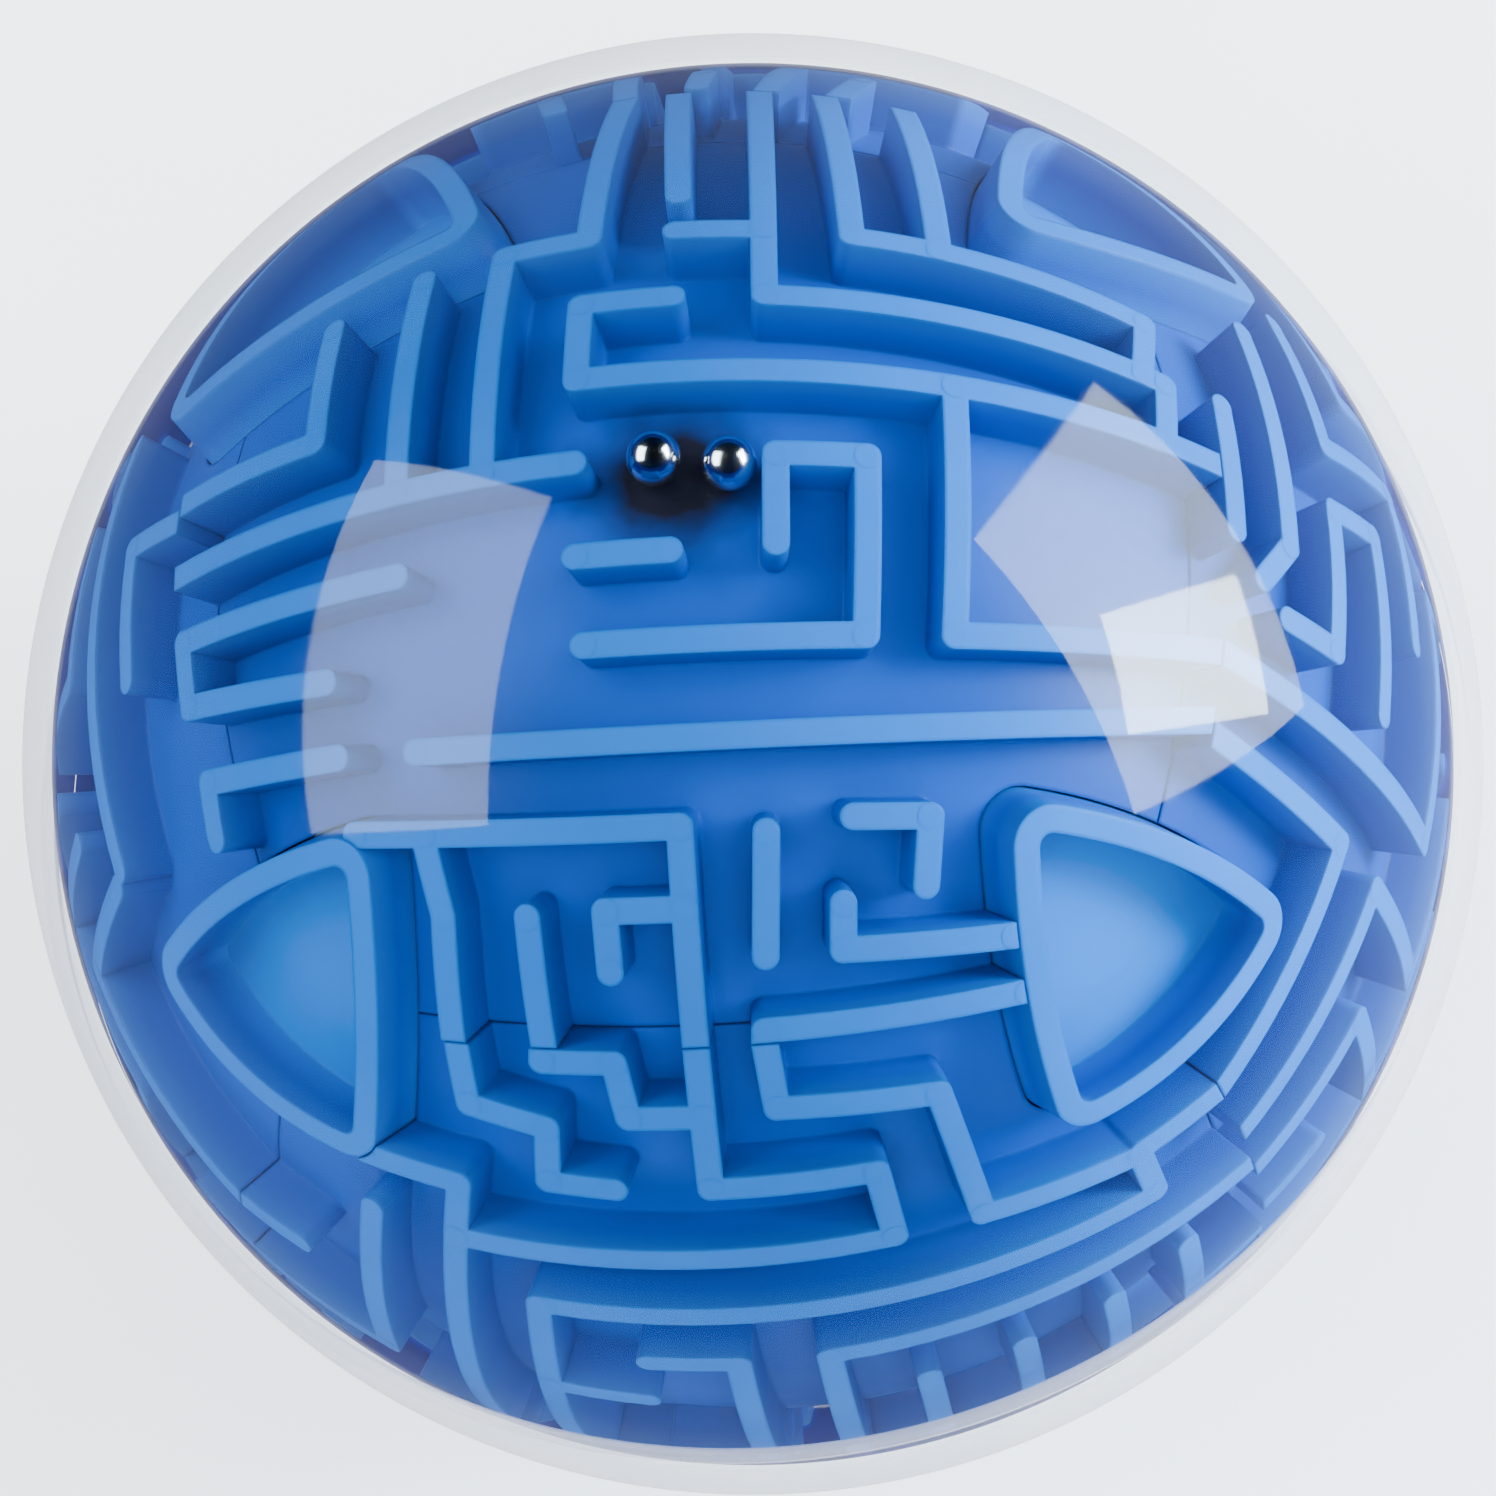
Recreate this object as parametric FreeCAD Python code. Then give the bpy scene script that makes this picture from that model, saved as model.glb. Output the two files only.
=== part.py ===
"""Spherical maze puzzle: a clear globe around a blue core whose channels guide two steel balls.

The origin is the centre of the globe. +Z is the face of the maze where the balls start, +Y is away
from the player and z = 0 is the seam of the globe. Lengths are millimetres, angles degrees.
"""

import FreeCAD, Part
import os
from math import cos, radians, sin, tan
from FreeCAD import Placement, Rotation, Vector

# Driving dimensions
GLOBE_R = 50.0
SHELL_WALL = 2.0
RIDGE_TOP_R = 47.7
FLOOR_R = 44.2
TILE_UNDER_R = 42.1
CARRIER_R = 42.0
CARRIER_WALL = 2.6
RIDGE_WIDTH = 1.7
BALL_D = 3.5
PIECE_GAP = 0.15
GRID_STEP = 7.2
POLE_TURN = 27.0

# Seam of the globe
SHELL_IN_R = GLOBE_R - SHELL_WALL
SEAM_R = GLOBE_R - SHELL_WALL / 2
SEAM_LAP = 1.5
SEAM_GAP = 0.05

# Corner pockets: each one's three points, one on each face, by the face's axis
POCKET_POINT = {"x": (30.5, 30.5), "y": (31.3, 31.3), "z": (27.7, 27.7)}
WIDE_POCKET = (-1, 1, 1)
WIDE_POINT = {"x": (20.0, 38.0), "y": (31.3, 31.3), "z": (17.0, 26.0)}
POCKET_BOW = 1.8
POCKET_CORNER_R = 2.6
POCKET_FLOOR_R = 43.2
POCKET_PEG_D = 4.0

# Pegs that hold the tiles, pips that hold the maze, and the screws of the carrier
TILE_PEG_D = 3.0
TILE_PEG_AT = 13.0
TILE_PEG_FOOT = 35.0
TILE_PEG_HEAD = 39.3
PEG_PLAY = 0.2
PEG_END_R = 40.0
PIP_D = 1.2
PIP_END_R = RIDGE_TOP_R + 0.06
PIP_PLACES = [(-2.05, -2), (-2.05, 0), (1, 2), (1, 1), (2, 3)]
COLUMN_D = 8.0
COLUMN_AT = 36.0
SCREW_D = 2.5
SCREW_LENGTH = 12.0
SCREW_HEAD_D = 4.4
SCREW_HEAD_H = 2.0
SCREW_HEAD_AT = -5.0
HEAD_BORE_D = 5.2

# Where the balls rest, as the two angles on the top face
BALL_TRACK_R = (FLOOR_R + SHELL_IN_R) / 2
LEFT_BALL_AT = (-1.4, 0.8)
RIGHT_BALL_AT = (4.4, 0.1)

X = Vector(1, 0, 0)
Y = Vector(0, 1, 0)
Z = Vector(0, 0, 1)
CENTRE = Vector(0, 0, 0)

# Each face of the maze: across, up, outward
FACES = {
    "top": (X, Y, Z),
    "bottom": (X, -Y, -Z),
    "front": (X, Z, -Y),
    "back": (X, -Z, Y),
    "right": (-Z, Y, X),
    "left": (Z, Y, -X),
}

# Ridges of each face, as runs of points in grid steps from the face's middle
EDGE = 6.6
RIDGES = {
    "top": [
        [(-3, -3), (EDGE, -3)],
        [(-0.95, -2), (2.05, -2), (2.05, 0), (1.1, 0), (1.1, -1)],
        [(-1, -1.05), (0, -1.05)],
        [(0, 2), (-1, 2), (-1, 1), (EDGE, 1)],
        [(3, 1), (3, -2), (EDGE, -2)],
        [(1, EDGE), (1, 2), (5.6, 2), (5.5, 1)],
        [(0, 3), (1, 3)],
        [(2, EDGE), (2, 3), (5.5, 3), (5.3, 2)],
        [(3, 3), (3.2, EDGE)],
        [(-1.1, EDGE), (-1, 3), (-2, 3), (-2, 0)],
        [(-0.3, EDGE), (0, 3.6)],
        [(-3, 3), (-3, 0)],
        [(-EDGE, 0), (-1, 0)],
        [(-4.15, 2.8), (-4.1, 1.05), (-EDGE, 1.3)],
        [(-3, -1), (-6.1, -1.1), (-6.1, -2.1), (-4, -2.1)],
        [(-4, -3), (-6, -3.2), (-6.1, -4)],
        [(-4, -3.9), (0, -3.9), (0, -EDGE)],
        [(0, -4.75), (-1, -4.75), (-1.05, -5.4)],
        [(-2, -4.8), (-2.3, -EDGE)],
        [(-3.1, -3.9), (-3.1, -4.8), (-3.7, -EDGE)],
        [(1, -4), (1, -5.3)],
        [(2, -3.9), (2.9, -3.95), (2.95, -4.7)],
        [(1.95, -4.8), (2, -5.3), (4.2, -5.4)],
        [(1, -EDGE), (1, -6.1), (4.6, -6.1)],
    ],
    "front": [
        [(0, EDGE), (0, 4.55), (2.05, 4.55), (2.05, 3.6), (-3.2, 3.55)],
        [(-4.5, 4.5), (-3.2, 4.4), (-3.2, -2), (-4.2, -2)],
        [(-3.7, EDGE), (-3.2, 5.5), (-2.1, 5.3), (-2.05, 4.6), (-1.2, 4.55)],
        [(-2.3, EDGE), (-2.25, 6.1), (-1.2, 6.1), (-1, 5.45), (0, 5.45)],
        [(1, EDGE), (1, 5.5), (3.1, 5.4), (3.1, 3.6), (5.05, 3.55), (5.05, 2.7), (-2.2, 2.65)],
        [(-2.2, 2.65), (-2.2, -3), (0, -3), (0, -4)],
        [(5.05, 3.6), (EDGE, 3.95)],
        [(-4.3, 3.6), (-4.3, 0), (-EDGE, 0)],
        [(-EDGE, 2), (-5.3, 2)],
        [(-1, 1.75), (0, 1.75), (0, -2), (-1.1, -2)],
        [(-2.2, 0.85), (-1.1, 0.85)],
        [(EDGE, 1.8), (1, 1.75), (1, -3), (3, -3)],
        [(2, 0.8), (2, -2), (4.2, -2), (4.2, 0.8)],
        [(3.1, 0.8), (3.1, -1)],
        [(5.2, 1), (5.2, -1), (EDGE, -1)],
        [(-3.2, -3), (-3.2, -4), (-1.1, -4), (-1.1, -EDGE)],
        [(-2.2, -5), (-2.2, -EDGE)],
        [(0, -5), (0, -6)],
        [(1.1, -EDGE), (1.1, -4), (3.1, -4)],
        [(2.2, -5), (2.2, -EDGE)],
        [(-5.3, -1), (-5.3, -2), (-EDGE, -2)],
        [(5.2, -2), (EDGE, -2)],
    ],
    "right": [
        [(-6.1, 2.1), (-6.1, 0)],
        [(-5.25, 3.6), (-5.25, 0.1), (-5.7, -0.6)],
        [(-5.3, -1), (-4.4, -1), (-4.35, 1), (-3.4, 1), (-3.3, -1.3)],
        [(-4.2, 4), (-4.2, 2), (-2.4, 2), (-2.4, 0)],
        [(-EDGE, -2), (-1.4, -2), (-1.4, 1), (0, 1)],
        [(-EDGE, -3.2), (-3.7, -3.1), (-3.9, -EDGE)],
        [(-2.7, -EDGE), (-2.6, -3.1), (0, -3.1), (0, -1), (2, -1)],
        [(-1.5, -EDGE), (-1.5, -4.2), (1, -4.2), (1, -2), (3, -2)],
        [(-3, EDGE), (-3, 3.1), (0, 3.1), (0, 2), (2, 2)],
        [(-1.8, EDGE), (-1.8, 4.2), (1.2, 4.2), (1.2, 3.1), (3.2, 3.1)],
        [(0, EDGE), (0, 5.3), (2.3, 5.3)],
        [(1, 0), (3.2, 0), (3.2, 2)],
        [(4.2, -3), (4.2, 3)],
        [(5.2, -1), (5.2, 1), (EDGE, 1)],
        [(2, -EDGE), (2, -3.1), (4, -3.1)],
        [(0, -5.3), (0, -EDGE)],
    ],
}

# The faces that mirror another face's ridges: which one, and the sign of its across and up values
MIRRORED = {"left": ("right", 1, 1), "back": ("front", -1, 1), "bottom": ("top", -1, 1)}


def face_direction(face, across, up):
    """Unit vector from the globe's centre to a point of a face given by its two angles."""
    across_axis, up_axis, outward = FACES[face]
    point = across_axis * tan(radians(across)) + up_axis * tan(radians(up)) + outward
    return point.normalize()


def sphere_solid(radius, outward):
    """A ball at the centre, turned so that its own seam and poles keep clear of the ridges."""
    solid = Part.makeSphere(radius)
    turn = Rotation(Vector(-1, 0, 0), outward).multiply(Rotation(X, POLE_TURN))
    solid.Placement = Placement(CENTRE, turn)
    return solid


def spherical_layer(inner_radius, outer_radius, outward):
    return sphere_solid(outer_radius, outward).cut(sphere_solid(inner_radius, outward))


def ridge_slab(start, end):
    """One straight ridge between two directions: a flat ring sector with the ridge's width."""
    low = FLOOR_R - 0.6
    normal = start.cross(end).normalize()
    middle = (start + end).normalize()
    outer = Part.Arc(start * RIDGE_TOP_R, middle * RIDGE_TOP_R, end * RIDGE_TOP_R).toShape()
    inner = Part.Arc(end * low, middle * low, start * low).toShape()
    side_1 = Part.makeLine(end * RIDGE_TOP_R, end * low)
    side_2 = Part.makeLine(start * low, start * RIDGE_TOP_R)
    sector = Part.Face(Part.Wire([outer, side_1, inner, side_2]))
    sector.translate(normal * (-RIDGE_WIDTH / 2))
    return sector.extrude(normal * RIDGE_WIDTH)


def ridge_post(direction):
    """The round end or corner of a ridge."""
    low = FLOOR_R - 0.6
    height = RIDGE_TOP_R + 0.02 - low
    return Part.makeCylinder(RIDGE_WIDTH / 2, height, direction * low, direction)


def face_ridges(face):
    """Every slab and post of one face's maze."""
    source, across_sign, up_sign = MIRRORED.get(face, (face, 1, 1))
    solids = []
    for run in RIDGES[source]:
        directions = []
        for across, up in run:
            across_angle = across * across_sign * GRID_STEP
            up_angle = up * up_sign * GRID_STEP
            directions.append(face_direction(face, across_angle, up_angle))
        solids.extend(ridge_post(direction) for direction in directions)
        solids.extend(ridge_slab(a, b) for a, b in zip(directions[:-1], directions[1:]))
    return solids


def face_wedge(face):
    """The square pyramid from the globe's centre that holds one face, less half a gap."""
    across_axis, up_axis, outward = FACES[face]
    shift = outward * (PIECE_GAP * 0.7)
    squares = []
    for distance in (5.0, 60.0):
        corners = [(-1, -1), (1, -1), (1, 1), (-1, 1), (-1, -1)]
        points = [shift + (across_axis * a + up_axis * b + outward) * distance for a, b in corners]
        squares.append(Part.makePolygon(points))
    return Part.makeLoft(squares, True, True)


def pocket_directions(corner):
    """The three rounded points of a corner pocket, one on each face that meets there."""
    point = WIDE_POINT if corner == WIDE_POCKET else POCKET_POINT
    sign_x, sign_y, sign_z = corner
    a, b = [tan(radians(angle)) for angle in point["x"]]
    on_x = Vector(sign_x, sign_y * a, sign_z * b).normalize()
    a, b = [tan(radians(angle)) for angle in point["y"]]
    on_y = Vector(sign_x * a, sign_y, sign_z * b).normalize()
    a, b = [tan(radians(angle)) for angle in point["z"]]
    on_z = Vector(sign_x * a, sign_y * b, sign_z).normalize()
    return [on_x, on_y, on_z]


def pocket_axis(corner):
    return Vector(*corner).normalize()


def pocket_prism(corner, grow, corner_radius):
    """The bowed triangle of a pocket, drawn square to its axis and pulled outwards."""
    axis = pocket_axis(corner)
    side = axis.cross(Z).normalize()
    other = axis.cross(side)
    points = []
    for direction in pocket_directions(corner):
        at = direction * RIDGE_TOP_R
        points.append(Vector(at.dot(side), at.dot(other), 0))
    middle = (points[0] + points[1] + points[2]) * (1 / 3)
    edges = []
    for start, end in zip(points, points[1:] + points[:1]):
        half_way = (start + end) * 0.5
        bulge = half_way - middle
        bulge.normalize()
        edges.append(Part.Arc(start, half_way + bulge * POCKET_BOW, end).toShape())
    outline = Part.Wire(edges)
    if grow:
        outline = outline.makeOffset2D(grow, 2)
    prism = Part.Face(outline).extrude(Vector(0, 0, 70))
    upright = [edge for edge in prism.Edges if is_upright(edge)]
    prism = prism.makeFillet(corner_radius, upright)
    prism.Placement = Placement(CENTRE, Rotation(side, other, axis, "ZXY"))
    return prism


def is_upright(edge):
    first = edge.Vertexes[0].Point
    last = edge.Vertexes[-1].Point
    return (last - first).Length > 60


def face_corners(face):
    """The four pocket corners of a face, as signs of x, y and z."""
    outward = FACES[face][2]
    signs = (-1, 1)
    corners = [(x, y, z) for x in signs for y in signs for z in signs]
    return [corner for corner in corners if outward.dot(Vector(*corner)) > 0]


def tile_pegs(face, diameter):
    """Four pegs under a tile, square to its face. Their heads end inside the tile's floor."""
    across_axis, up_axis, outward = FACES[face]
    pegs = []
    for a in (-TILE_PEG_AT, TILE_PEG_AT):
        for b in (-TILE_PEG_AT, TILE_PEG_AT):
            foot = across_axis * a + up_axis * b + outward * TILE_PEG_FOOT
            length = TILE_PEG_HEAD - TILE_PEG_FOOT
            pegs.append(Part.makeCylinder(diameter / 2, length, foot, outward))
    return pegs


def holding_pips():
    """Small studs inside the lower shell that stop against ridge corners of the bottom tile."""
    pips = []
    for across, up in PIP_PLACES:
        direction = face_direction("bottom", across * GRID_STEP, up * GRID_STEP)
        height = SHELL_IN_R + 0.5 - PIP_END_R
        pips.append(Part.makeCylinder(PIP_D / 2, height, direction * PIP_END_R, direction))
    return pips


def maze_tile(face):
    """One curved sixth of the maze: floor, ridges and pegs, cut back where the cups stand."""
    outward = FACES[face][2]
    floor = spherical_layer(TILE_UNDER_R, FLOOR_R, outward)
    solids = face_ridges(face)
    tile = floor.common(face_wedge(face)).multiFuse(solids)
    tile = tile.common(face_wedge(face))
    for corner in face_corners(face):
        tile = tile.cut(pocket_prism(corner, PIECE_GAP, POCKET_CORNER_R + PIECE_GAP))
    tile = tile.multiFuse(tile_pegs(face, TILE_PEG_D))
    return largest_solid(tile)


def largest_solid(shape):
    return max(shape.removeSplitter().Solids, key=lambda solid: solid.Volume)


def corner_cup(corner):
    """A three-cornered cup: raised rim, sunken floor and one peg."""
    axis = pocket_axis(corner)
    outer = pocket_prism(corner, 0, POCKET_CORNER_R)
    hollow = pocket_prism(corner, -RIDGE_WIDTH, POCKET_CORNER_R - RIDGE_WIDTH)
    cup = outer.common(spherical_layer(TILE_UNDER_R, RIDGE_TOP_R, axis))
    cup = cup.cut(hollow.cut(sphere_solid(POCKET_FLOOR_R, axis)))
    peg = Part.makeCylinder(POCKET_PEG_D / 2, 3.0, axis * PEG_END_R, axis)
    return largest_solid(cup.fuse(peg))


def half_space(sign):
    """The upper (sign 1) or lower (sign -1) half of space, less half a gap."""
    box = Part.makeBox(200, 200, 100, Vector(-100, -100, 0))
    lift = PIECE_GAP / 2
    if sign > 0:
        box.translate(Vector(0, 0, lift))
    else:
        box.translate(Vector(0, 0, -100 - lift))
    return box


def column_places():
    places = []
    for turn in (0, 90, 180, 270):
        angle = radians(turn)
        places.append(Vector(COLUMN_AT * cos(angle), COLUMN_AT * sin(angle), 0))
    return places


def carrier_half(sign):
    """Half of the hollow inner ball, with a screw column at each quarter."""
    whole = sphere_solid(CARRIER_R, Z * sign)
    wall = whole.cut(sphere_solid(CARRIER_R - CARRIER_WALL, Z * sign))
    columns = []
    for place in column_places():
        columns.append(Part.makeCylinder(COLUMN_D / 2, 80, place - Z * 40, Z).common(whole))
    half = wall.multiFuse(columns).common(half_space(sign))
    bores = []
    for place in column_places():
        bores.append(Part.makeCylinder(SCREW_D / 2 + PIECE_GAP, 20, place - Z * 10, Z))
        deep = place - Z * (60 - SCREW_HEAD_AT)
        bores.append(Part.makeCylinder(HEAD_BORE_D / 2, 60, deep, Z))
    for face in FACES:
        bores.extend(tile_pegs(face, TILE_PEG_D + 2 * PEG_PLAY))
    for corner in face_corners("top") + face_corners("bottom"):
        axis = pocket_axis(corner)
        radius = POCKET_PEG_D / 2 + PEG_PLAY
        bores.append(Part.makeCylinder(radius, 12, axis * (PEG_END_R - 3), axis))
    return largest_solid(half.cut(bores))


def carrier_screws():
    """Four countersunk-bore screws that pull the carrier halves together."""
    screws = []
    for place in column_places():
        seat = place + Z * SCREW_HEAD_AT
        shank = Part.makeCylinder(SCREW_D / 2, SCREW_LENGTH, seat, Z)
        head = Part.makeCylinder(SCREW_HEAD_D / 2, SCREW_HEAD_H, seat - Z * SCREW_HEAD_H, Z)
        slot_foot = seat - Z * SCREW_HEAD_H
        slots = []
        for turn in (0, 90):
            slot = Part.makeBox(3.0, 0.6, 1.0, slot_foot - Vector(1.5, 0.3, 0))
            slot.rotate(slot_foot, Z, turn)
            slots.append(slot)
        screws.append(shank.fuse(head).cut(slots))
    return Part.makeCompound(screws)


def turned(profile):
    """A solid of revolution about Z from edges that close in the XZ plane."""
    return Part.Face(Part.Wire(profile)).revolve(CENTRE, Z, 360)


def ring(inner_radius, outer_radius, low, high):
    height = high - low
    outer = Part.makeCylinder(outer_radius, height, Vector(0, 0, low))
    return outer.cut(Part.makeCylinder(inner_radius, height, Vector(0, 0, low)))


def shell_half(sign):
    """A clear half globe. The upper half's inner lip laps inside the lower half."""
    mid = radians(45)
    outer_tip = Vector(0, 0, sign * GLOBE_R)
    inner_tip = Vector(0, 0, sign * SHELL_IN_R)
    outer_mid = Vector(GLOBE_R * cos(mid), 0, sign * GLOBE_R * sin(mid))
    inner_mid = Vector(SHELL_IN_R * cos(mid), 0, sign * SHELL_IN_R * sin(mid))
    outer_foot = Vector(GLOBE_R, 0, 0)
    inner_foot = Vector(SHELL_IN_R, 0, 0)
    profile = [
        Part.makeLine(inner_foot, outer_foot),
        Part.Arc(outer_foot, outer_mid, outer_tip).toShape(),
        Part.makeLine(outer_tip, inner_tip),
        Part.Arc(inner_tip, inner_mid, inner_foot).toShape(),
    ]
    half = turned(profile)
    if sign > 0:
        lip = ring(SHELL_IN_R, SEAM_R - SEAM_GAP, -SEAM_LAP, 0.5)
        return largest_solid(half.fuse(lip))
    half = half.cut(ring(SHELL_IN_R - 5, SEAM_R + SEAM_GAP, -SEAM_LAP - SEAM_GAP, 1))
    half = half.cut(ring(SHELL_IN_R - 5, GLOBE_R + 5, -SEAM_GAP, 1))
    return largest_solid(half.multiFuse(holding_pips()))


def steel_ball(place):
    return Part.makeSphere(BALL_D / 2, face_direction("top", *place) * BALL_TRACK_R)


def cup_name(corner):
    side = "left" if corner[0] < 0 else "right"
    depth = "front" if corner[1] < 0 else "back"
    level = "lower" if corner[2] < 0 else "upper"
    return f"corner_cup_{level}_{depth}_{side}"


def all_pieces():
    pieces = {"shell_top": shell_half(1), "shell_bottom": shell_half(-1)}
    pieces["carrier_top"] = carrier_half(1)
    pieces["carrier_bottom"] = carrier_half(-1)
    pieces["carrier_screws"] = carrier_screws()
    for face in FACES:
        pieces[f"maze_tile_{face}"] = maze_tile(face)
    for corner in face_corners("top") + face_corners("bottom"):
        pieces[cup_name(corner)] = corner_cup(corner)
    pieces["steel_ball_left"] = steel_ball(LEFT_BALL_AT)
    pieces["steel_ball_right"] = steel_ball(RIGHT_BALL_AT)
    return pieces


os.makedirs("parts", exist_ok=True)
for name, shape in all_pieces().items():
    shape.exportStep(f"parts/{name}.step")
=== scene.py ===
"""Looks of the spherical maze puzzle: clear globe, blue moulded maze and two bright steel balls."""

import math

import bmesh
import bpy
from mathutils import Matrix, Vector


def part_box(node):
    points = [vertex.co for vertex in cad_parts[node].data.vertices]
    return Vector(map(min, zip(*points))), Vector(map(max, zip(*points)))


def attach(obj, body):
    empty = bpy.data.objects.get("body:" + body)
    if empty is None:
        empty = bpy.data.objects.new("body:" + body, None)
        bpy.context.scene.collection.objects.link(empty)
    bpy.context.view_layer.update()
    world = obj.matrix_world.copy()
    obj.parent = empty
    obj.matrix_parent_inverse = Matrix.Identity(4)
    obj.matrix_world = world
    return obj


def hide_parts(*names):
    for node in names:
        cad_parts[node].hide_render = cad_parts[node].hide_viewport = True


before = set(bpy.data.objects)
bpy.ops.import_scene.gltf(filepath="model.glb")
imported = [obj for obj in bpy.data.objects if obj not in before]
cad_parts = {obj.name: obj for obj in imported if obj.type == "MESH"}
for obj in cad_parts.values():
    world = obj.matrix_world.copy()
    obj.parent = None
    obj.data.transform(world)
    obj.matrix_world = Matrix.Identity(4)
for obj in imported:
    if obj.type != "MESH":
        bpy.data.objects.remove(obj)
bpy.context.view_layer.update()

MM = 0.001

# The globe's radius, read from the frame
shell_low, shell_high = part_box("shell_bottom")
GLOBE_R = (shell_high.x - shell_low.x) / 2

# Other sizes of the clear halves
WALL = 2.0 * MM
INNER_R = GLOBE_R - WALL
SEAM_LAP = 1.5 * MM
SEAM_GAP = 0.05 * MM
LATHE_SEGMENTS = 256
ARC_STEPS = 96
SHARP_EDGE = math.radians(40)
ON_AXIS = 1e-7

# Radii where the painted shade and light by depth on the maze, the cups and the carrier start and
# end
RIDGE_TOP_R = 47.7 * MM
FLOOR_R = 44.2 * MM
CUP_FLOOR_R = 43.2 * MM
CARRIER_LOW_R = 39.4 * MM
CARRIER_TOP_R = 42.0 * MM

# Blues painted darker or lighter by depth, standing in for shade and light: on the floor, half way
# up and on top
MAZE_PAINTED_SHADE_BLUES = ((0.001, 0.048, 0.29), (0.001, 0.06, 0.34), (0.001, 0.11, 0.44))
CUP_PAINTED_SHADE_BLUES = ((0.001, 0.115, 0.46), (0.001, 0.06, 0.34), (0.001, 0.11, 0.44))
CARRIER_PAINTED_SHADE_BLUES = ((0.01, 0.05, 0.16), (0.01, 0.06, 0.2), (0.012, 0.08, 0.24))
PAINTED_SHADE_STOPS = (0.04, 0.55, 0.97)
BLUE_IOR = 1.5
BLUE_SPECULAR = 0.08
GRAIN_STRENGTH = 0.05
GRAIN_DEPTH = 0.04 * MM
MOULD_EDGE_R = 0.4 * MM

# Useful span of a noise value
NOISE_LOW = 0.3
NOISE_HIGH = 0.7

# Clear wall: share that is mirrored head on and edge on, the painted pale reflection towards its
# rim, the painted blue reflection of the maze, and the painted highlight along the seam
GLOSS_HEAD_ON = 0.04
GLOSS_EDGE_ON = 0.3
GLOSS_POWER = 5
PAINTED_RIM_REFLECTION = ((0.25, 0.0), (0.6, 0.02), (0.7, 0.04), (0.76, 0.4))
MAZE_REFLECTION_START = 0.56
MAZE_REFLECTION_FULL = 0.62
SEAM_HIGHLIGHT_LOW = 0.1 * MM
SEAM_HIGHLIGHT_HIGH = 0.35 * MM
SEAM_HIGHLIGHT_AMOUNT = 0.3

# Painted shadow of the balls on the channel floor: middle and half size, from where the two balls
# rest
left_low, left_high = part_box("steel_ball_left")
right_low, right_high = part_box("steel_ball_right")
PAINTED_SHADOW_AT = (left_low + right_high) / 2 + Vector((-1.4, 0.1, -2)) * MM
PAINTED_SHADOW_SIZE = Vector((6.6, 5.4, 6)) * MM
PAINTED_SHADOW_BLACK = (0.008, 0.006, 0.004)
PAINTED_SHADOW_WOBBLE = 0.12
PAINTED_SHADOW_AMOUNT = 0.96
PAINTED_SHADOW_CORE = 0.5
PAINTED_SHADOW_EDGE = 1.15

# Studio light and floor
SOFTBOX_TINT = (0.76, 0.92, 1.0)
SKY_TINT = (0.95, 0.97, 1.0, 1)
SKY_STRENGTH = 1.1
FLOOR_SIZE = 6
FLOOR_GAP = 0.5 * MM
FLOOR_GLOW = 0.8
FLOOR_ROUGHNESS = 0.8

# Camera: angles round the globe, distance, and lens
AZIMUTH = 13.65
ELEVATION = 65.6
ROLL = -15.24
DISTANCE = 8 * GLOBE_R
LENS = 139.6
SHIFT_X = -0.0033
SHIFT_Y = 0.0107
SENSOR = 36
CLIP_NEAR = 0.01
CLIP_FAR = 20


def grey(tone):
    return (tone, tone, tone)


def new_material(name):
    """An empty node material with its output; returns the material, nodes, links and output."""
    material = bpy.data.materials.new(name)
    material.use_nodes = True
    nodes = material.node_tree.nodes
    nodes.clear()
    output = nodes.new("ShaderNodeOutputMaterial")
    return material, nodes, material.node_tree.links, output


def noise(nodes, links, vector, scale, detail=3.0):
    """A noise value; scale is in waves per metre."""
    node = nodes.new("ShaderNodeTexNoise")
    node.inputs["Scale"].default_value = scale
    node.inputs["Detail"].default_value = detail
    node.inputs["Roughness"].default_value = 0.5
    links.new(vector, node.inputs["Vector"])
    return node.outputs["Fac"]


def ramp(nodes, links, value, stops):
    """A colour ramp over value from (position, colour) stops."""
    node = nodes.new("ShaderNodeValToRGB")
    elements = node.color_ramp.elements
    elements[0].position, elements[0].color = stops[0][0], (*stops[0][1], 1)
    elements[1].position, elements[1].color = stops[-1][0], (*stops[-1][1], 1)
    for position, colour in stops[1:-1]:
        elements.new(position).color = (*colour, 1)
    links.new(value, node.inputs["Fac"])
    return node.outputs["Color"]


def noise_ramp(nodes, links, value, dark, bright):
    """Colour that follows a noise value from dark to bright."""
    return ramp(nodes, links, value, [(NOISE_LOW, dark), (NOISE_HIGH, bright)])


def map_range(nodes, links, value, low, high, to_low=0.0, to_high=1.0):
    """Value carried from low..high to to_low..to_high, and held at both ends."""
    node = nodes.new("ShaderNodeMapRange")
    node.inputs["From Min"].default_value = low
    node.inputs["From Max"].default_value = high
    node.inputs["To Min"].default_value = to_low
    node.inputs["To Max"].default_value = to_high
    links.new(value, node.inputs["Value"])
    return node.outputs["Result"]


def noise_range(nodes, links, value, to_low, to_high):
    return map_range(nodes, links, value, NOISE_LOW, NOISE_HIGH, to_low, to_high)


def object_place(nodes):
    """Place on the piece, measured from the globe's centre."""
    return nodes.new("ShaderNodeTexCoord").outputs["Object"]


def calculate(nodes, links, operation, a, b=None):
    """One sum on the value a; b is a number, another value or left out."""
    node = nodes.new("ShaderNodeMath")
    node.operation = operation
    links.new(a, node.inputs[0])
    if isinstance(b, (float, int)):
        node.inputs[1].default_value = b
    elif b is not None:
        links.new(b, node.inputs[1])
    return node.outputs["Value"]


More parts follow.
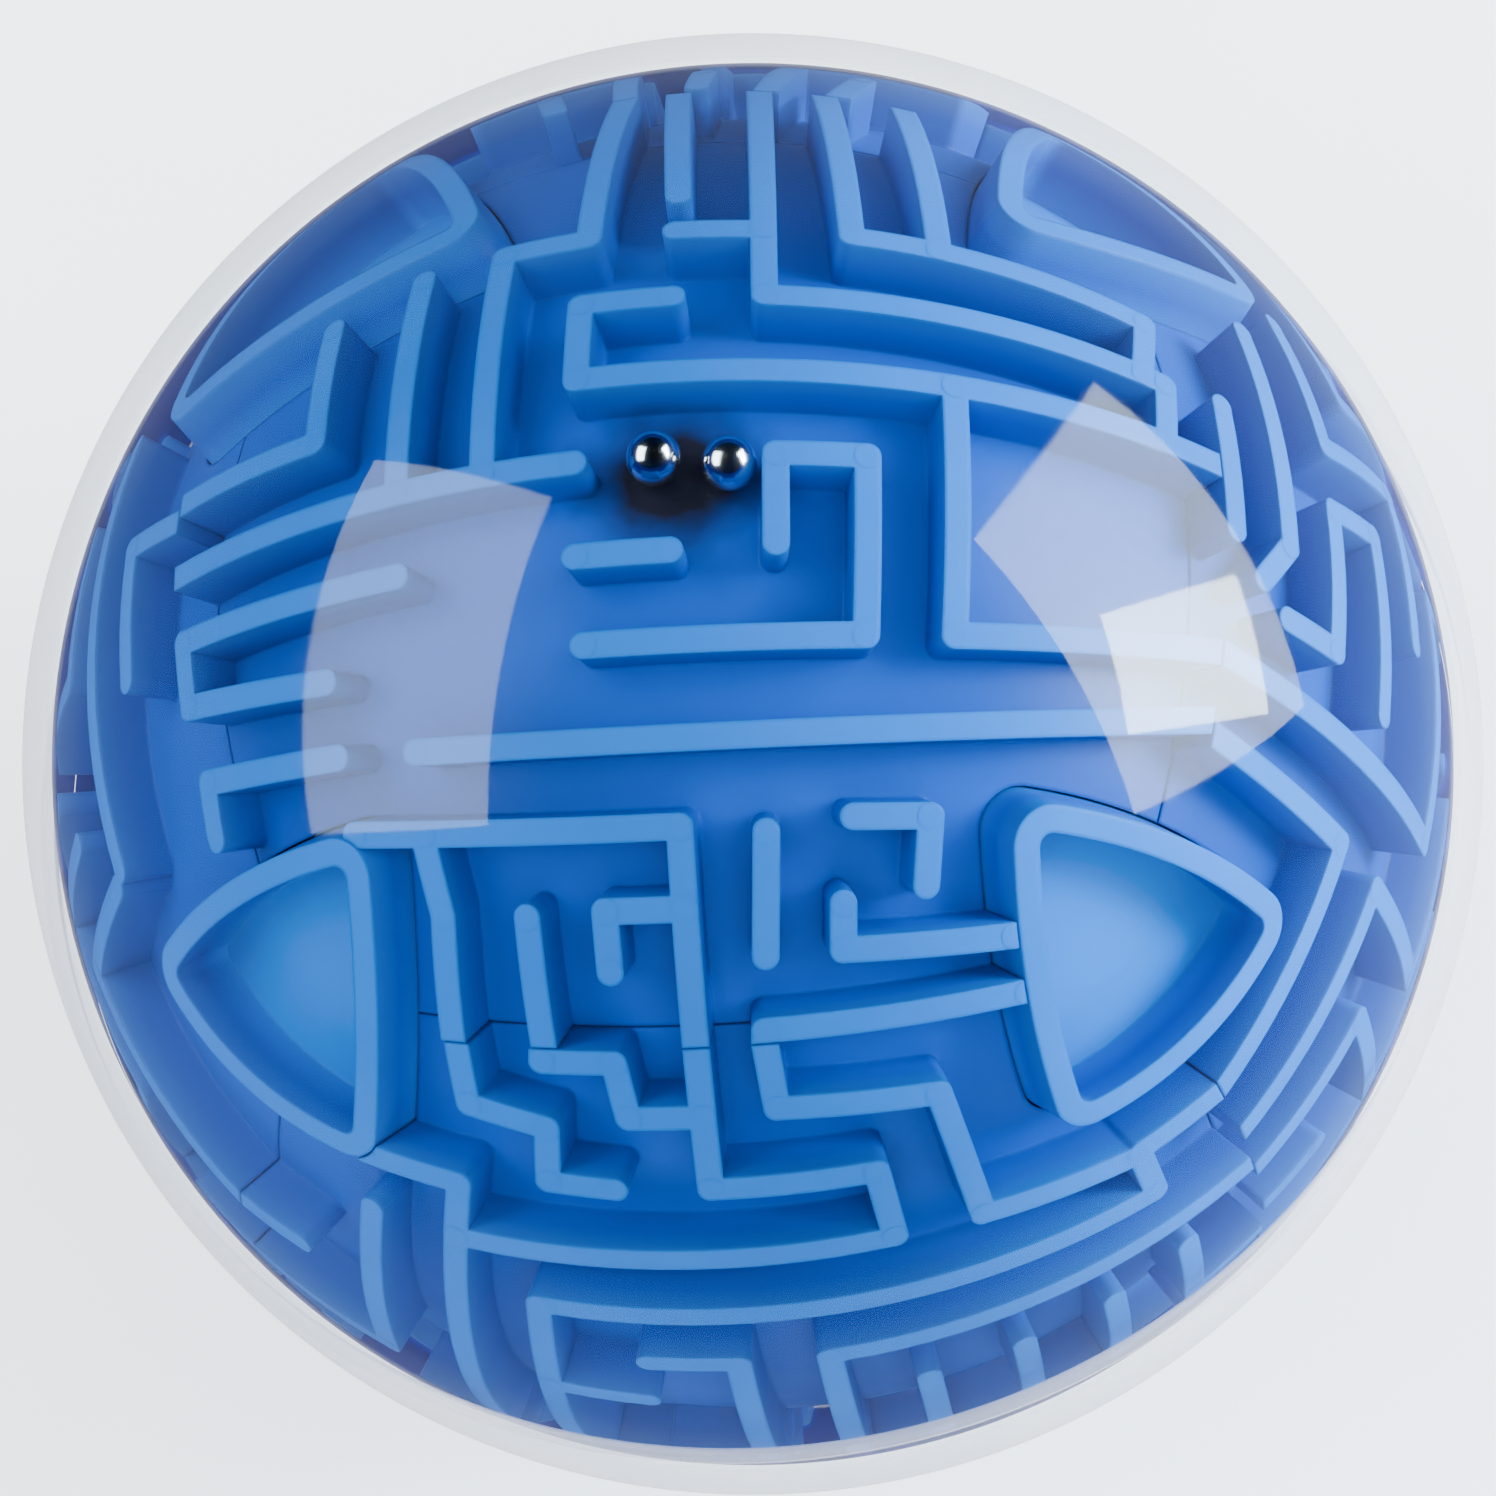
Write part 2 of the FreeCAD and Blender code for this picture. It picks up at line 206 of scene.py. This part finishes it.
def shift_place(nodes, links, operation, place, vector):
    """A place after one sum with a fixed vector."""
    node = nodes.new("ShaderNodeVectorMath")
    node.operation = operation
    node.inputs[1].default_value = vector
    links.new(place, node.inputs[0])
    return node.outputs["Vector"]


def radius_from_centre(nodes, links, place):
    node = nodes.new("ShaderNodeVectorMath")
    node.operation = "LENGTH"
    links.new(place, node.inputs[0])
    return node.outputs["Value"]


def mix_shaders(nodes, links, factor, a, b):
    """Shader a where factor is 0, and shader b where it is 1."""
    node = nodes.new("ShaderNodeMixShader")
    links.new(factor, node.inputs["Fac"])
    links.new(a, node.inputs[1])
    links.new(b, node.inputs[2])
    return node.outputs["Shader"]


def mix_colour(nodes, links, factor, a, b, blend="MIX"):
    """Colour a blended with colour b; factor, a and b are fixed or come from a node."""
    node = nodes.new("ShaderNodeMix")
    node.data_type = "RGBA"
    node.blend_type = blend
    for socket, value in ((node.inputs[0], factor), (node.inputs[6], a), (node.inputs[7], b)):
        if isinstance(value, (float, int)):
            socket.default_value = value
        elif isinstance(value, tuple):
            socket.default_value = (*value, 1)
        else:
            links.new(value, socket)
    return node.outputs[2]


def rounded_bump(nodes, links, height, strength, distance, edge_radius):
    """Normal from a bump height over edges softened by edge_radius."""
    bevel = nodes.new("ShaderNodeBevel")
    bevel.samples = 4
    bevel.inputs["Radius"].default_value = edge_radius
    bump = nodes.new("ShaderNodeBump")
    bump.inputs["Strength"].default_value = strength
    bump.inputs["Distance"].default_value = distance
    links.new(height, bump.inputs["Height"])
    links.new(bevel.outputs["Normal"], bump.inputs["Normal"])
    return bump.outputs["Normal"]


def painted_ball_shadow(nodes, links, place, radius, colour):
    """Colour with a dark, soft-edged painted shadow of the balls on the channel floor where they
    are parked.
    """
    offset = shift_place(nodes, links, "SUBTRACT", place, PAINTED_SHADOW_AT)
    oval = shift_place(nodes, links, "DIVIDE", offset, PAINTED_SHADOW_SIZE)
    ripple = noise(nodes, links, place, 260.0)
    wobble = noise_range(nodes, links, ripple, -PAINTED_SHADOW_WOBBLE, PAINTED_SHADOW_WOBBLE)
    ragged = calculate(nodes, links, "ADD", radius_from_centre(nodes, links, oval), wobble)
    near = map_range(nodes, links, ragged, PAINTED_SHADOW_CORE, PAINTED_SHADOW_EDGE, PAINTED_SHADOW_AMOUNT, 0.0)
    low = map_range(nodes, links, radius, FLOOR_R + 0.5 * MM, FLOOR_R + 2.0 * MM, 1.0, 0.0)
    amount = calculate(nodes, links, "MULTIPLY", near, low)
    return mix_colour(nodes, links, amount, colour, PAINTED_SHADOW_BLACK)


def moulded_blue(name, painted_shade_blues, floor_r, top_r, with_painted_shadow=False):
    """Moulded plastic, its blue set by depth as painted shade and painted light (on the maze deeper
    in the channels, brighter on the ridges), with faint flow marks.
    """
    material, nodes, links, output = new_material(name)
    shader = nodes.new("ShaderNodeBsdfPrincipled")
    place = object_place(nodes)
    radius = radius_from_centre(nodes, links, place)
    depth = map_range(nodes, links, radius, floor_r, top_r)
    # blue ramped by depth: painted shade down in the hollows, painted light up on the tops
    colour = ramp(nodes, links, depth, list(zip(PAINTED_SHADE_STOPS, painted_shade_blues)))
    # paint the balls' shadow dark on the channel floor round where they rest
    if with_painted_shadow:
        colour = painted_ball_shadow(nodes, links, place, radius, colour)
    flow = noise(nodes, links, place, 90.0)
    shade = noise_ramp(nodes, links, flow, (0.9, 0.92, 0.94), grey(1.0))
    links.new(mix_colour(nodes, links, 1.0, colour, shade, "MULTIPLY"), shader.inputs["Base Color"])
    links.new(noise_range(nodes, links, flow, 0.3, 0.42), shader.inputs["Roughness"])
    grain = noise(nodes, links, place, 1400.0, 2.0)
    normal = rounded_bump(nodes, links, grain, GRAIN_STRENGTH, GRAIN_DEPTH, MOULD_EDGE_R)
    links.new(normal, shader.inputs["Normal"])
    shader.inputs["IOR"].default_value = BLUE_IOR
    shader.inputs["Specular IOR Level"].default_value = BLUE_SPECULAR
    links.new(shader.outputs["BSDF"], output.inputs["Surface"])
    return material


def maze_blue():
    """The six tiles, with a painted shadow under the balls."""
    return moulded_blue("maze_blue", MAZE_PAINTED_SHADE_BLUES, FLOOR_R, RIDGE_TOP_R, with_painted_shadow=True)


def cup_blue():
    return moulded_blue("cup_blue", CUP_PAINTED_SHADE_BLUES, CUP_FLOOR_R, RIDGE_TOP_R)


def carrier_blue():
    return moulded_blue("carrier_blue", CARRIER_PAINTED_SHADE_BLUES, CARRIER_LOW_R, CARRIER_TOP_R)


def steel(name, scale, detail, dark, bright, smooth, rough):
    """Steel whose fine marks vary it from dark to bright and from smooth to rough."""
    material, nodes, links, output = new_material(name)
    shader = nodes.new("ShaderNodeBsdfPrincipled")
    marks = noise(nodes, links, object_place(nodes), scale, detail)
    links.new(noise_ramp(nodes, links, marks, dark, bright), shader.inputs["Base Color"])
    shader.inputs["Metallic"].default_value = 1.0
    links.new(noise_range(nodes, links, marks, smooth, rough), shader.inputs["Roughness"])
    links.new(shader.outputs["BSDF"], output.inputs["Surface"])
    return material


def ball_steel():
    """Bright bearing steel with a faint haze."""
    return steel("ball_steel", 500.0, 3.0, (0.86, 0.86, 0.88), (0.95, 0.95, 0.96), 0.12, 0.2)


def screw_steel():
    """Duller plated steel."""
    return steel("screw_steel", 900.0, 4.0, (0.42, 0.42, 0.44), (0.56, 0.56, 0.58), 0.25, 0.4)


def painted_seam_highlight(nodes, links, place):
    """A painted pale highlight round the globe's seam, strongest at z = 0."""
    height = nodes.new("ShaderNodeSeparateXYZ")
    links.new(place, height.inputs["Vector"])
    away = calculate(nodes, links, "ABSOLUTE", height.outputs["Z"])
    return map_range(nodes, links, away, SEAM_HIGHLIGHT_LOW, SEAM_HIGHLIGHT_HIGH, SEAM_HIGHLIGHT_AMOUNT, 0.0)


def diffuse(nodes, links, colour):
    node = nodes.new("ShaderNodeBsdfDiffuse")
    links.new(colour, node.inputs["Color"])
    return node.outputs["BSDF"]


def wall_outside(nodes, links, clear, facing, haze, place):
    """Outer face: clear and mirror-like at a slant, with a painted pale reflection at the rim and a
    painted highlight along the seam.
    """
    mirror = nodes.new("ShaderNodeBsdfGlossy")
    links.new(noise_range(nodes, links, haze, 0.02, 0.06), mirror.inputs["Roughness"])
    slant = calculate(nodes, links, "POWER", facing, GLOSS_POWER)
    gloss = map_range(nodes, links, slant, 0.0, 1.0, GLOSS_HEAD_ON, GLOSS_EDGE_ON)
    body = mix_shaders(nodes, links, gloss, clear, mirror.outputs["BSDF"])
    # painted pale reflection at the rim, joined with the painted seam highlight; both drawn in a
    # flat pale tint
    painted_rim = ramp(nodes, links, facing, [(position, grey(tone)) for position, tone in PAINTED_RIM_REFLECTION])
    edge = calculate(nodes, links, "MAXIMUM", painted_rim, painted_seam_highlight(nodes, links, place))
    rim_tint = ramp(nodes, links, haze, [(0.35, (0.72, 0.7, 0.78)), (0.65, (0.82, 0.76, 0.8))])
    return mix_shaders(nodes, links, edge, body, diffuse(nodes, links, rim_tint))


def wall_inside(nodes, links, clear, facing, haze):
    """Inner face: clear, with a painted blue reflection of the maze where its far side is seen at a
    slant.
    """
    # blue standing in for the maze's reflection in the far wall
    painted_maze_reflection_tint = ramp(nodes, links, haze, [(0.35, (0.004, 0.06, 0.3)), (0.65, (0.006, 0.09, 0.4))])
    slanted = map_range(nodes, links, facing, MAZE_REFLECTION_START, MAZE_REFLECTION_FULL)
    back_face = nodes.new("ShaderNodeNewGeometry").outputs["Backfacing"]
    far_side = calculate(nodes, links, "SUBTRACT", slanted, back_face)
    far_side.node.use_clamp = True
    return mix_shaders(nodes, links, far_side, clear, diffuse(nodes, links, painted_maze_reflection_tint))


def shell_clear():
    """Clear plastic of the globe's two halves."""
    material, nodes, links, output = new_material("shell_clear")
    place = object_place(nodes)
    clear = nodes.new("ShaderNodeBsdfTransparent").outputs["BSDF"]
    haze = noise(nodes, links, place, 60.0, 4.0)
    weight = nodes.new("ShaderNodeLayerWeight")
    weight.inputs["Blend"].default_value = 0.5
    facing = weight.outputs["Facing"]
    outer = wall_outside(nodes, links, clear, facing, haze, place)
    inner = wall_inside(nodes, links, clear, facing, haze)
    radius = radius_from_centre(nodes, links, place)
    outwards = map_range(nodes, links, radius, INNER_R + WALL * 0.2, GLOBE_R - WALL * 0.2)
    links.new(mix_shaders(nodes, links, outwards, inner, outer), output.inputs["Surface"])
    return material


def arc_points(radius, start, end, steps):
    """(r, z) points of an arc round the centre between two elevations in degrees."""
    points = []
    for i in range(steps + 1):
        angle = math.radians(start + (end - start) * i / steps)
        points.append((radius * math.cos(angle), radius * math.sin(angle)))
    return points


def lathe(name, profile):
    """A closed solid of revolution about Z. The profile starts and ends on the axis."""
    mesh = bmesh.new()
    rings = []
    for r, z in profile:
        if r < ON_AXIS:
            rings.append([mesh.verts.new((0, 0, z))])
            continue
        ring = []
        for i in range(LATHE_SEGMENTS):
            angle = 2 * math.pi * i / LATHE_SEGMENTS
            ring.append(mesh.verts.new((r * math.cos(angle), r * math.sin(angle), z)))
        rings.append(ring)
    for a, b in zip(rings[:-1], rings[1:]):
        for i in range(LATHE_SEGMENTS):
            j = (i + 1) % LATHE_SEGMENTS
            corners = [a[i % len(a)], a[j % len(a)], b[j % len(b)], b[i % len(b)]]
            mesh.faces.new(list(dict.fromkeys(corners)))
    bmesh.ops.recalc_face_normals(mesh, faces=mesh.faces)
    for edge in mesh.edges:
        edge.smooth = edge.calc_face_angle(0) < SHARP_EDGE
    for face in mesh.faces:
        face.smooth = True
    data = bpy.data.meshes.new(name)
    mesh.to_mesh(data)
    mesh.free()
    piece = bpy.data.objects.new(name, data)
    bpy.context.scene.collection.objects.link(piece)
    return piece


def on_axis(points, tip):
    """Puts the pole point of an arc exactly on the axis."""
    points[tip] = (0.0, points[tip][1])
    return points


def shell_top():
    """Upper half, with a thin lip that hangs below the seam inside the lower half."""
    outer = on_axis(arc_points(GLOBE_R, 90, 0, ARC_STEPS), 0)
    lip_r = GLOBE_R - WALL / 2 - SEAM_GAP
    lip = [(lip_r, 0), (lip_r, -SEAM_LAP), (INNER_R, -SEAM_LAP)]
    inner = on_axis(arc_points(INNER_R, 0, 90, ARC_STEPS), -1)
    return lathe("clear_shell_top", outer + lip + inner)


def shell_bottom():
    """Lower half, with a recess for the upper half's lip."""
    outer_end = -math.degrees(math.asin(SEAM_GAP / GLOBE_R))
    recess_r = GLOBE_R - WALL / 2 + SEAM_GAP
    outer = on_axis(arc_points(GLOBE_R, -90, outer_end, ARC_STEPS), 0)
    step_z = -SEAM_LAP - SEAM_GAP
    step = [(recess_r, -SEAM_GAP), (recess_r, step_z)]
    inner_start = math.degrees(math.asin(step_z / INNER_R))
    inner = on_axis(arc_points(INNER_R, inner_start, -90, ARC_STEPS), -1)
    return lathe("clear_shell_bottom", outer + step + inner)


def dress(node, material):
    """Gives a CAD node its material."""
    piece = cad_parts[node]
    for place in piece.material_slots:
        place.material = material


def aim_at_centre(lamp):
    direction = -lamp.location
    lamp.rotation_euler = direction.to_track_quat("-Z", "Y").to_euler()


def from_centre(azimuth, elevation, distance):
    """A point at that bearing from the globe: azimuth from +X towards +Y."""
    a, e = math.radians(azimuth), math.radians(elevation)
    return Vector((math.cos(a) * math.cos(e), math.sin(a) * math.cos(e), math.sin(e))) * distance


def softbox(name, azimuth, elevation, distance, width, height, power, turn=0.0, mirrored=True):
    """A cool area lamp that faces the globe: metres, watts, and its turn in degrees."""
    data = bpy.data.lights.new(name, "AREA")
    data.color = SOFTBOX_TINT
    data.shape = "RECTANGLE"
    data.size = width
    data.size_y = height
    data.energy = power
    lamp = bpy.data.objects.new(name, data)
    lamp.location = from_centre(azimuth, elevation, distance)
    aim_at_centre(lamp)
    lamp.rotation_euler.rotate_axis("Z", math.radians(turn))
    lamp.visible_glossy = mirrored
    bpy.context.scene.collection.objects.link(lamp)


def make_camera():
    """The camera looks at the globe's centre from its bearing, rolled about its own axis."""
    data = bpy.data.cameras.new("camera")
    data.lens = LENS
    data.sensor_width = SENSOR
    data.shift_x = SHIFT_X
    data.shift_y = SHIFT_Y
    data.clip_start = CLIP_NEAR
    data.clip_end = CLIP_FAR
    camera = bpy.data.objects.new("camera", data)
    a, e = math.radians(AZIMUTH), math.radians(ELEVATION)
    back = Vector((math.sin(a) * math.cos(e), -math.cos(a) * math.cos(e), math.sin(e)))
    level = Vector((math.cos(a), math.sin(a), 0))
    right = Matrix.Rotation(math.radians(ROLL), 3, back) @ level
    up = back.cross(right)
    camera.matrix_world = Matrix(
        (
            (right.x, up.x, back.x, back.x * DISTANCE),
            (right.y, up.y, back.y, back.y * DISTANCE),
            (right.z, up.z, back.z, back.z * DISTANCE),
            (0, 0, 0, 1),
        )
    )
    bpy.context.scene.collection.objects.link(camera)
    bpy.context.scene.camera = camera


def make_floor():
    """A pale floor just under the globe, lit a little from itself, not mirrored."""
    bpy.ops.mesh.primitive_plane_add(size=FLOOR_SIZE, location=(0, 0, -GLOBE_R - FLOOR_GAP))
    floor = bpy.context.object
    floor.name = "floor"
    material, nodes, links, output = new_material("pale_floor")
    shader = nodes.new("ShaderNodeBsdfPrincipled")
    paper = noise(nodes, links, object_place(nodes), 40.0)
    links.new(noise_ramp(nodes, links, paper, grey(0.94), grey(0.97)), shader.inputs["Base Color"])
    shader.inputs["Emission Color"].default_value = (1, 1, 1, 1)
    shader.inputs["Emission Strength"].default_value = FLOOR_GLOW
    shader.inputs["Roughness"].default_value = FLOOR_ROUGHNESS
    links.new(shader.outputs["BSDF"], output.inputs["Surface"])
    floor.data.materials.append(material)
    floor.visible_glossy = False


def make_world():
    """Even light from all round, not mirrored."""
    world = bpy.data.worlds.new("studio")
    world.use_nodes = True
    background = world.node_tree.nodes["Background"]
    background.inputs["Color"].default_value = SKY_TINT
    background.inputs["Strength"].default_value = SKY_STRENGTH
    bpy.context.scene.world = world
    world.cycles_visibility.glossy = False


def dress_cad():
    """Materials for every piece that stays as the CAD made it."""
    looks = (
        ("maze_tile", maze_blue()),
        ("corner_cup", cup_blue()),
        ("carrier_screws", screw_steel()),
        ("carrier", carrier_blue()),
        ("steel_ball", ball_steel()),
    )
    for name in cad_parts:
        for start, material in looks:
            if name.startswith(start):
                dress(name, material)
                break


def make_globe():
    """The two clear halves, in place of the CAD ones."""
    plastic = shell_clear()
    for piece, node in ((shell_top(), "shell_top"), (shell_bottom(), "shell_bottom")):
        piece.data.materials.append(plastic)
        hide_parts(node)
        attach(piece, "globe")


def make_lights():
    """Two softboxes, the bright middle of the right one, and a fill lamp that isn't mirrored."""
    softbox(
        "left_softbox", azimuth=178.4, elevation=44.4, distance=0.9,
        width=0.8, height=0.52, power=11, turn=-18,
    )
    softbox(
        "right_softbox", azimuth=10.8, elevation=22.8, distance=0.9,
        width=0.75, height=0.62, power=24, turn=40,
    )
    softbox(
        "right_core", azimuth=3.7, elevation=17.5, distance=0.85,
        width=0.24, height=0.4, power=18, turn=25,
    )
    softbox(
        "front_fill", azimuth=-76, elevation=50, distance=0.9,
        width=1.0, height=1.0, power=12, mirrored=False,
    )


dress_cad()
make_globe()
make_floor()
make_world()
make_lights()
make_camera()
